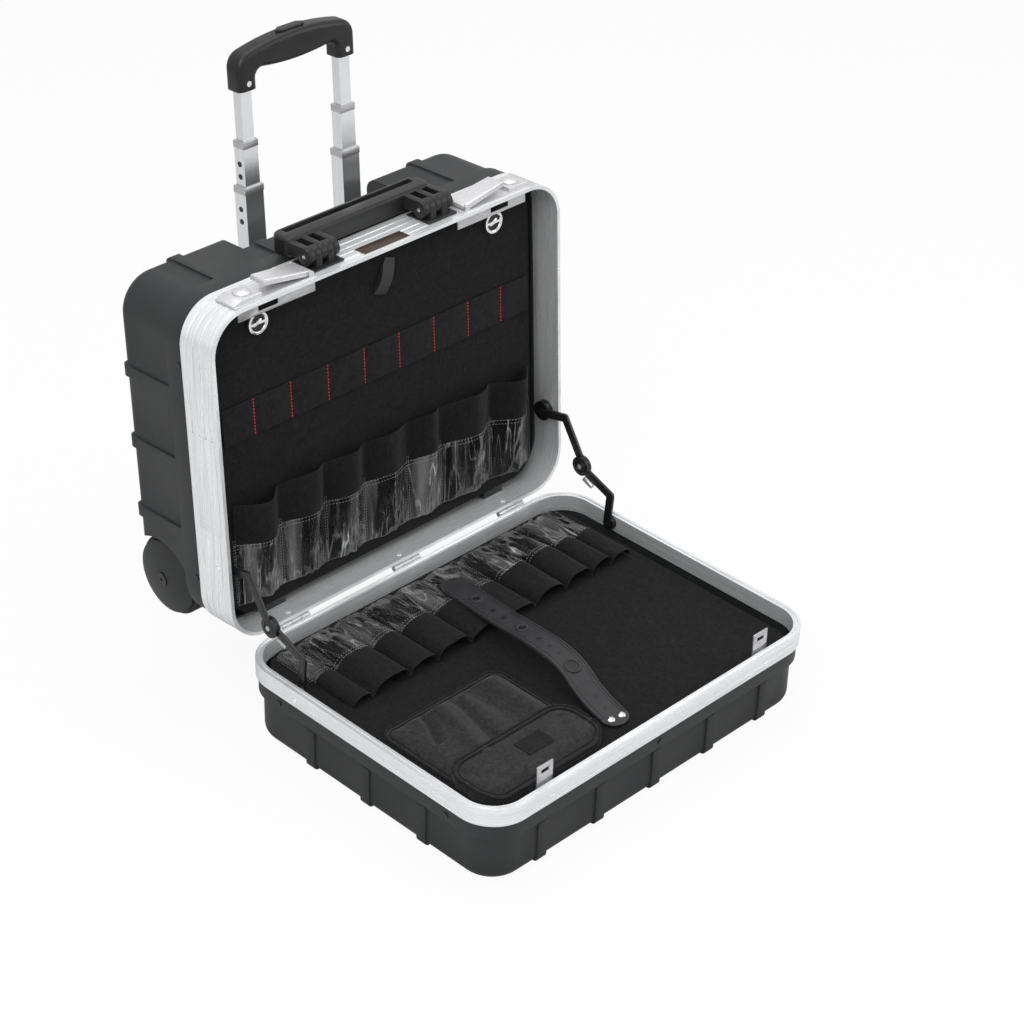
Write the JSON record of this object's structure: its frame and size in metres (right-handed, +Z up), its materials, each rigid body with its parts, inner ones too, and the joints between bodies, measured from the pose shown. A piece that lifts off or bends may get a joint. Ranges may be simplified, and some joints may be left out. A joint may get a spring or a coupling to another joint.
{
  "type": "hard tool case",
  "caption": "Open hard tool case with ribbed plastic halves, aluminium frames, latches, folding stays, carry handle, telescopic trolley, wheels and sleeved tool boards.",
  "frame": {"origin": "on the ground, under the centre of the open case's bounding box; the case stands on the flat bottom of its open lid", "axes": "+Z up, +X along the hinge towards the right of someone facing the open case, +Y from the lid towards the base half and its trolley"},
  "size_m": [0.4916, 0.574, 0.6724],
  "materials": {
    "shell_plastic": "matte",
    "frame_aluminium": "satin",
    "latch_metal": "satin",
    "plain_steel": "satin",
    "bright_metal": "polished",
    "black_metal": "satin",
    "handle_plastic": "satin",
    "board_cloth": "matte",
    "lined_board": "matte",
    "sleeve_cloth": "matte",
    "clear_film": "gloss",
    "strap_rubber": "matte",
    "wheel_rubber": "matte"
  },
  "bodies": {
    "case_base": {"base_frame": "frame_aluminium", "frame_joint_plates": "frame_aluminium", "base_shell": "shell_plastic", "base_shell_screws": "black_metal", "base_rivets": "bright_metal", "base_hinge_leaves": "plain_steel", "hinge_pins": "bright_metal", "latch_plate_left": "latch_metal", "latch_plate_right": "latch_metal", "latch_catch_plates": "plain_steel", "name_plate": "plain_steel", "handle_brackets": "handle_plastic", "handle_pins": "plain_steel", "trolley_sleeves": "frame_aluminium", "trolley_brackets": "handle_plastic", "wheel_axles": "black_metal", "wheel_covers": "shell_plastic", "tool_board": "board_cloth", "board_sleeves": "sleeve_cloth", "board_sleeve_windows": "clear_film", "board_elastic_band": "sleeve_cloth", "board_tab": "strap_rubber", "stay_base_pivots": "black_metal"},
    "lid": {"lid_frame": "frame_aluminium", "lid_shell": "shell_plastic", "lid_shell_screws": "black_metal", "lid_rivets": "bright_metal", "lid_hinge_leaves": "plain_steel", "lid_hasps": "plain_steel", "lid_board": "lined_board", "lid_loops": "sleeve_cloth", "lid_loop_windows": "clear_film", "lid_pouch": "sleeve_cloth", "lid_pouch_flap": "sleeve_cloth", "lid_strap": "strap_rubber", "lid_strap_studs": "bright_metal", "stay_lid_pivots": "black_metal"},
    "latch_lever_left": {"latch_lever_left": "latch_metal"},
    "latch_lever_right": {"latch_lever_right": "latch_metal"},
    "latch_button_left": {"latch_button_left": "latch_metal"},
    "latch_button_right": {"latch_button_right": "latch_metal"},
    "carry_handle": {"carry_handle": "handle_plastic"},
    "trolley_outer": {"trolley_outer_tubes": "frame_aluminium", "trolley_outer_collars": "plain_steel"},
    "trolley_middle": {"trolley_middle_tubes": "frame_aluminium", "trolley_middle_collars": "plain_steel"},
    "trolley_inner": {"trolley_inner_tubes": "frame_aluminium", "trolley_grip": "handle_plastic", "trolley_grip_screws": "plain_steel"},
    "trolley_button": {"trolley_button": "handle_plastic"},
    "wheel_left": {"wheel_tyre_left": "wheel_rubber", "wheel_hub_left": "shell_plastic"},
    "wheel_right": {"wheel_tyre_right": "wheel_rubber", "wheel_hub_right": "shell_plastic"},
    "quarter_turn_left": {"quarter_turn_left": "bright_metal"},
    "quarter_turn_right": {"quarter_turn_right": "bright_metal"},
    "stay_upper_left": {"stay_upper_left": "black_metal"},
    "stay_upper_right": {"stay_upper_right": "black_metal"},
    "stay_lower_left": {"stay_lower_left": "black_metal"},
    "stay_lower_right": {"stay_lower_right": "black_metal"}
  },
  "joints": [
    {"name": "lid_hinge", "type": "hinge", "parent": "case_base", "child": "lid", "pos_m": [0, 0.09699, 0.097], "axis": [-1, 0, 0], "range_deg": [0, 93.1]},
    {"name": "stay_upper_left_hinge", "type": "hinge", "parent": "case_base", "child": "stay_upper_left", "pos_m": [-0.2315, 0.12375, 0.18428], "axis": [-1, 0, 0], "range_deg": [0, 94.04]},
    {"name": "stay_lower_left_hinge", "type": "hinge", "parent": "lid", "child": "stay_lower_left", "pos_m": [-0.2315, 0.00939, 0.088], "axis": [1, 0, 0], "range_deg": [0, 133.78]},
    {"name": "stay_upper_right_hinge", "type": "hinge", "parent": "case_base", "child": "stay_upper_right", "pos_m": [0.2315, 0.12375, 0.18428], "axis": [-1, 0, 0], "range_deg": [0, 94.04]},
    {"name": "stay_lower_right_hinge", "type": "hinge", "parent": "lid", "child": "stay_lower_right", "pos_m": [0.2315, 0.00939, 0.088], "axis": [1, 0, 0], "range_deg": [0, 133.78]},
    {"name": "latch_lever_left_hinge", "type": "hinge", "parent": "case_base", "child": "latch_lever_left", "pos_m": [-0.109, 0.13696, 0.4837], "axis": [0, 0.9985, -0.0541], "range_deg": [-8, 60]},
    {"name": "latch_button_left_slide", "type": "slide", "parent": "case_base", "child": "latch_button_left", "axis": [0, -0.0541, -0.9985], "range_m": [0, 0.002], "stiffness_N_per_m": 300},
    {"name": "latch_lever_right_hinge", "type": "hinge", "parent": "case_base", "child": "latch_lever_right", "pos_m": [0.109, 0.13696, 0.4837], "axis": [0, -0.9985, 0.0541], "range_deg": [-8, 60]},
    {"name": "latch_button_right_slide", "type": "slide", "parent": "case_base", "child": "latch_button_right", "axis": [0, -0.0541, -0.9985], "range_m": [0, 0.002], "stiffness_N_per_m": 300},
    {"name": "carry_handle_hinge", "type": "hinge", "parent": "case_base", "child": "carry_handle", "pos_m": [0, 0.14335, 0.49067], "axis": [1, 0, 0], "range_deg": [0, 100]},
    {"name": "trolley_outer_slide", "type": "slide", "parent": "case_base", "child": "trolley_outer", "axis": [0, 0.0541, 0.9985], "range_m": [-0.104, 0.114]},
    {"name": "trolley_middle_slide", "type": "slide", "parent": "trolley_outer", "child": "trolley_middle", "axis": [0, 0.0541, 0.9985], "range_m": [-0.042, 0.178]},
    {"name": "trolley_inner_slide", "type": "slide", "parent": "trolley_middle", "child": "trolley_inner", "axis": [0, 0.0541, 0.9985], "range_m": [-0.055, 0.173]},
    {"name": "trolley_button_slide", "type": "slide", "parent": "trolley_inner", "child": "trolley_button", "axis": [0, -0.0541, -0.9985], "range_m": [0, 0.0022], "stiffness_N_per_m": 300},
    {"name": "wheel_left_axle", "type": "hinge", "parent": "case_base", "child": "wheel_left", "pos_m": [-0.2185, 0.22263, 0.12384], "axis": [1, 0, 0], "continuous": true},
    {"name": "quarter_turn_left_hinge", "type": "hinge", "parent": "case_base", "child": "quarter_turn_left", "pos_m": [-0.166, 0.14272, 0.44213], "axis": [0, 0.9985, -0.0541], "range_deg": [0, 90]},
    {"name": "wheel_right_axle", "type": "hinge", "parent": "case_base", "child": "wheel_right", "pos_m": [0.2185, 0.22263, 0.12384], "axis": [1, 0, 0], "continuous": true},
    {"name": "quarter_turn_right_hinge", "type": "hinge", "parent": "case_base", "child": "quarter_turn_right", "pos_m": [0.166, 0.14272, 0.44213], "axis": [0, 0.9985, -0.0541], "range_deg": [0, 90]}
  ],
  "couplings": [
    {"joint": "stay_upper_left_hinge", "follows": "lid_hinge", "ratio": 1.008},
    {"joint": "stay_lower_left_hinge", "follows": "lid_hinge", "ratio": 1.4349},
    {"joint": "stay_upper_right_hinge", "follows": "lid_hinge", "ratio": 1.008},
    {"joint": "stay_lower_right_hinge", "follows": "lid_hinge", "ratio": 1.4349}
  ]
}
